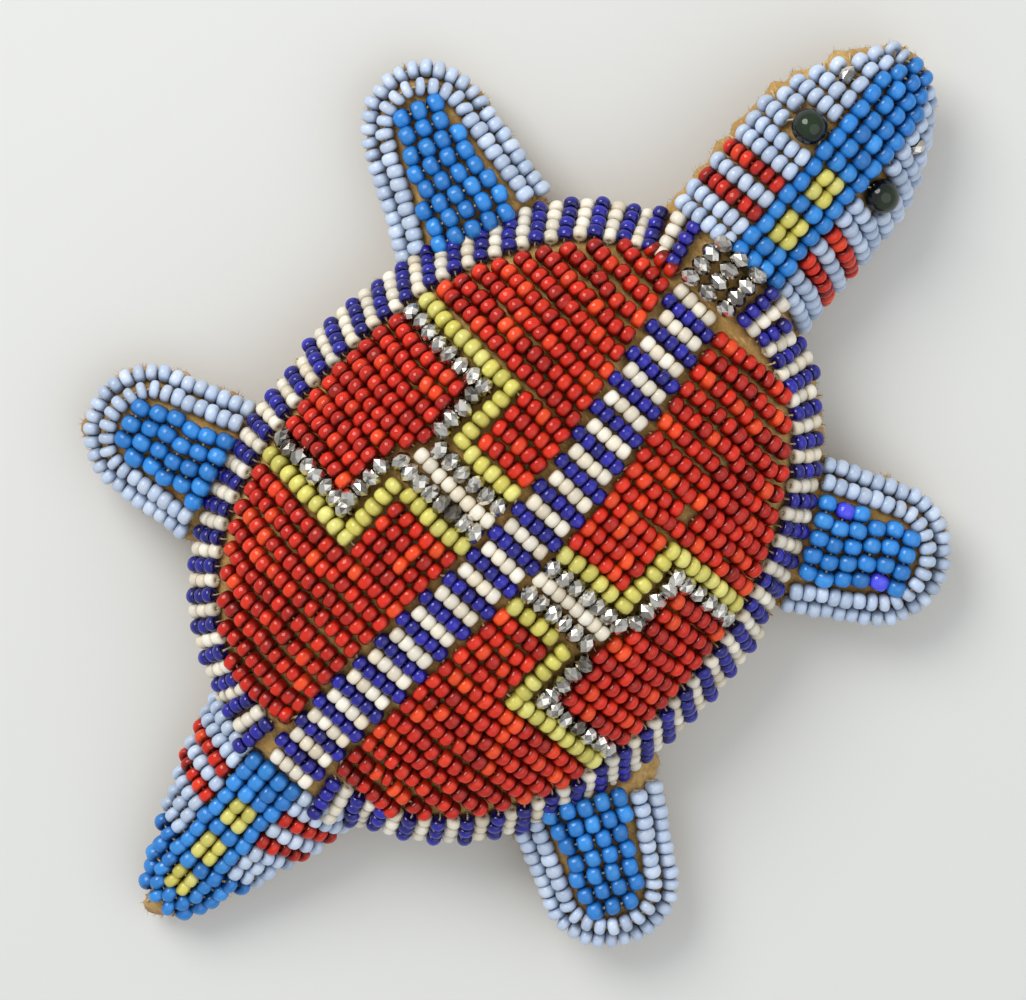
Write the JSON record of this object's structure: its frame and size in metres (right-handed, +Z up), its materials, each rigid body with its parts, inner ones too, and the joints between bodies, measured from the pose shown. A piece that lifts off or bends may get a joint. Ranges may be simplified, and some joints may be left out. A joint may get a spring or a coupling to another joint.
{
  "type": "beaded hide turtle figure",
  "caption": "Stuffed hide turtle covered with lane-stitched glass seed beads: red back with stepped figures, striped spine and rim, blue-striped head and tail, four padded legs",
  "frame": {"origin": "middle of the footprint, on the plane the belly rests on", "axes": "+Z up, head to -Y, the turtle's left side to +X"},
  "size_m": [0.0945, 0.1392, 0.0237],
  "materials": {
    "hide": "smoked brain-tanned hide, napped and fibrous, cut edges slightly frayed",
    "stuffing": "loose fibre filling, never seen",
    "sinew": "pale twisted sinew, waxy",
    "glass_ivory": "opaque warm white seed bead, satin",
    "glass_navy": "deep cobalt seed bead, glossy",
    "glass_red": "translucent red seed bead with a brighter heart, glossy",
    "glass_pale": "opaque bluish white seed bead, satin",
    "glass_blue": "greasy turquoise blue seed bead, soft gloss",
    "glass_violet": "violet blue seed bead, glossy",
    "glass_yellow": "greasy translucent yellow seed bead",
    "cut_metal": "faceted metal bead, bright facets with dark grime between",
    "glass_eye": "large dark green glass bead, glossy"
  },
  "bodies": {
    "root": {"eye_left": "glass_eye", "eye_right": "glass_eye", "field_red_left": "glass_red", "field_red_right": "glass_red", "head_blue": "glass_blue", "head_metal": "cut_metal", "head_pale": "glass_pale", "head_red": "glass_red", "head_yellow": "glass_yellow", "hide_back": "hide", "hide_belly": "hide", "hide_head_top": "hide", "hide_head_under": "hide", "hide_leg_front_left_top": "hide", "hide_leg_front_left_under": "hide", "hide_leg_front_right_top": "hide", "hide_leg_front_right_under": "hide", "hide_leg_hind_left_top": "hide", "hide_leg_hind_left_under": "hide", "hide_leg_hind_right_top": "hide", "hide_leg_hind_right_under": "hide", "hide_tail_top": "hide", "hide_tail_under": "hide", "leg_border_front_left": "glass_pale", "leg_border_front_right": "glass_pale", "leg_border_hind_left": "glass_pale", "leg_border_hind_right": "glass_pale", "leg_field_front_left": "glass_blue", "leg_field_front_right": "glass_blue", "leg_field_hind_left": "glass_blue", "leg_field_hind_right": "glass_blue", "leg_violet_front_right": "glass_violet", "neck_metal": "cut_metal", "rim_ivory": "glass_ivory", "rim_navy": "glass_navy", "seam_body": "sinew", "seam_limbs": "sinew", "sinew_body": "sinew", "sinew_head": "sinew", "sinew_legs": "sinew", "sinew_tail": "sinew", "steps_ivory": "glass_ivory", "steps_metal_left": "cut_metal", "steps_metal_right": "cut_metal", "steps_yellow_left": "glass_yellow", "steps_yellow_right": "glass_yellow", "stripe_ivory": "glass_ivory", "stripe_navy": "glass_navy", "stuffing_body": "stuffing", "stuffing_head": "stuffing", "stuffing_leg_front_left": "stuffing", "stuffing_leg_front_right": "stuffing", "stuffing_leg_hind_left": "stuffing", "stuffing_leg_hind_right": "stuffing", "stuffing_tail": "stuffing", "tail_blue": "glass_blue", "tail_pale": "glass_pale", "tail_red": "glass_red", "tail_yellow": "glass_yellow"}
  },
  "joints": []
}
